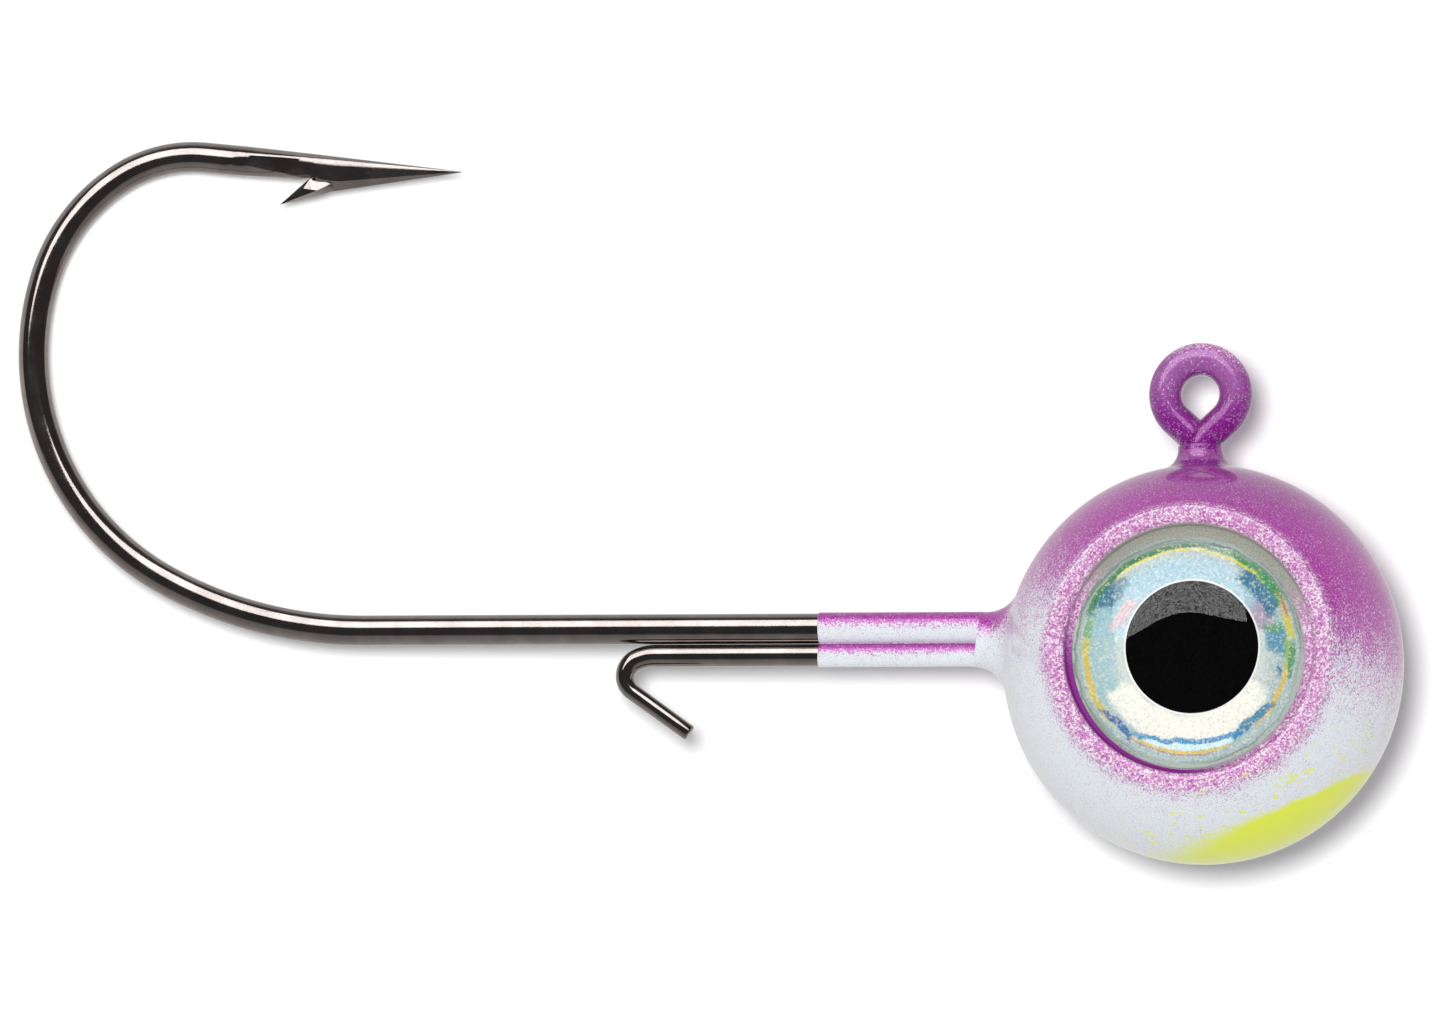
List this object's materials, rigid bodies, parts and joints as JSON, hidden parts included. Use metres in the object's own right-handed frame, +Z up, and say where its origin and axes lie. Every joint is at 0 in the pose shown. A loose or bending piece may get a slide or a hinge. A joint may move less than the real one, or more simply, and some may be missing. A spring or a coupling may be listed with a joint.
{
  "type": "jig head",
  "caption": "Ball-head fishing jig: a barbed hook and a bait-keeper wire cast into a painted round lead head, with a closed line eye on top and a domed foil eye in each cheek.",
  "frame": {"origin": "centre of the line eye", "axes": "+X towards the nose of the head, away from the hook's bend; +Z up, out of the top of the line eye; Y across the head, through both eyes, with the hook, the keeper and the line eye in the plane y = 0"},
  "size_m": [0.0391, 0.0098, 0.0205],
  "materials": {
    "black_nickel_wire": "polished black nickel plate",
    "bare_lead": "dull as-cast lead",
    "head_paint": "gloss pearl purple sprayed from above over pearl white, with a chartreuse patch at the chin",
    "eye_adhesive": "double-sided adhesive pad",
    "eye_foil": "holographic silver foil",
    "eye_pupil": "black print",
    "eye_dome": "clear cast resin"
  },
  "bodies": {
    "root": {"jig_hook": "black_nickel_wire", "keeper_wire": "black_nickel_wire", "lead_head": "bare_lead", "head_coat": "head_paint", "collar_coat": "head_paint", "line_eye_coat": "head_paint", "right_eye_adhesive": "eye_adhesive", "right_eye_foil": "eye_foil", "right_eye_pupil": "eye_pupil", "right_eye_dome": "eye_dome", "left_eye_adhesive": "eye_adhesive", "left_eye_foil": "eye_foil", "left_eye_pupil": "eye_pupil", "left_eye_dome": "eye_dome"}
  },
  "joints": []
}
